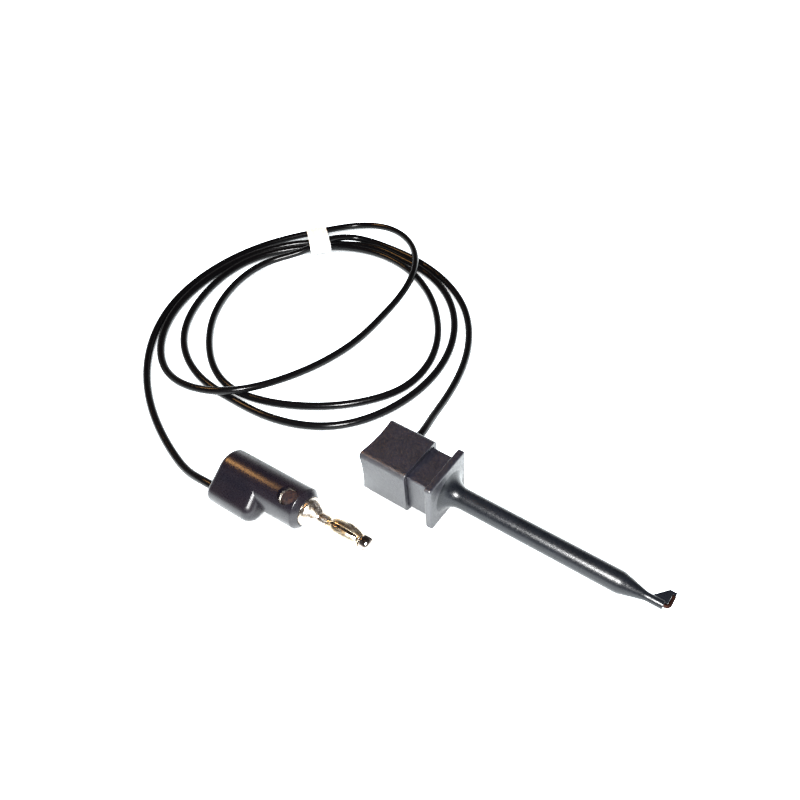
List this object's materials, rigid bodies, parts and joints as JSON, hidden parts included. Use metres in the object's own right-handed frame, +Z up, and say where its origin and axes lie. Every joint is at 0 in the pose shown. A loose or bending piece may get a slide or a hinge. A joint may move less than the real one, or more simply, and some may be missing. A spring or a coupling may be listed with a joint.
{
  "type": "hook clip test lead",
  "caption": "Test lead with a sprung square-cap hook clip at one end and a stackable banana plug at the other, its thin lead looped and tied.",
  "frame": {"origin": "bottom centre of the hook clip's box, on the surface it lies on", "axes": "+X along the clip from the thumb cap to the hook, +Y to the side where the lead leaves the cap, +Z up"},
  "size_m": [0.1677, 0.1131, 0.014],
  "materials": {
    "black_nylon": "fine satin moulding",
    "black_head": "semi-gloss moulding",
    "black_pvc": "glossy extruded jacket",
    "nickel": "bright nickel plate",
    "gilt_bronze": "gold flash on bronze wire",
    "brass": "turned",
    "spring_steel": "drawn wire",
    "tinned_copper": "tinned strands",
    "solder": "satin",
    "white_tie": "matte"
  },
  "bodies": {
    "root": {"thumb_cap": "black_nylon", "terminal_post": "brass", "hook_wire": "gilt_bronze", "return_spring": "spring_steel", "clip_conductor": "tinned_copper", "clip_solder": "solder", "lead": "black_pvc", "twist_tie": "white_tie", "plug_head": "black_head", "plug_core": "nickel", "plug_pin": "nickel", "plug_conductor": "tinned_copper", "plug_solder": "solder"},
    "barrel": {"barrel": "black_nylon"},
    "plug_spring": {"plug_spring": "nickel"}
  },
  "joints": [
    {"name": "barrel_slide", "type": "slide", "parent": "root", "child": "barrel", "axis": [-1, 0, 0], "range_m": [0, 0.005], "stiffness_N_per_m": 400, "springref_m": -0.003, "deforming": ["return_spring"]},
    {"name": "plug_spring_turn", "type": "hinge", "parent": "root", "child": "plug_spring", "pos_m": [-0.0298, -0.02034, 0.00498], "axis": [0.9997, 0.0262, 0], "continuous": true}
  ]
}
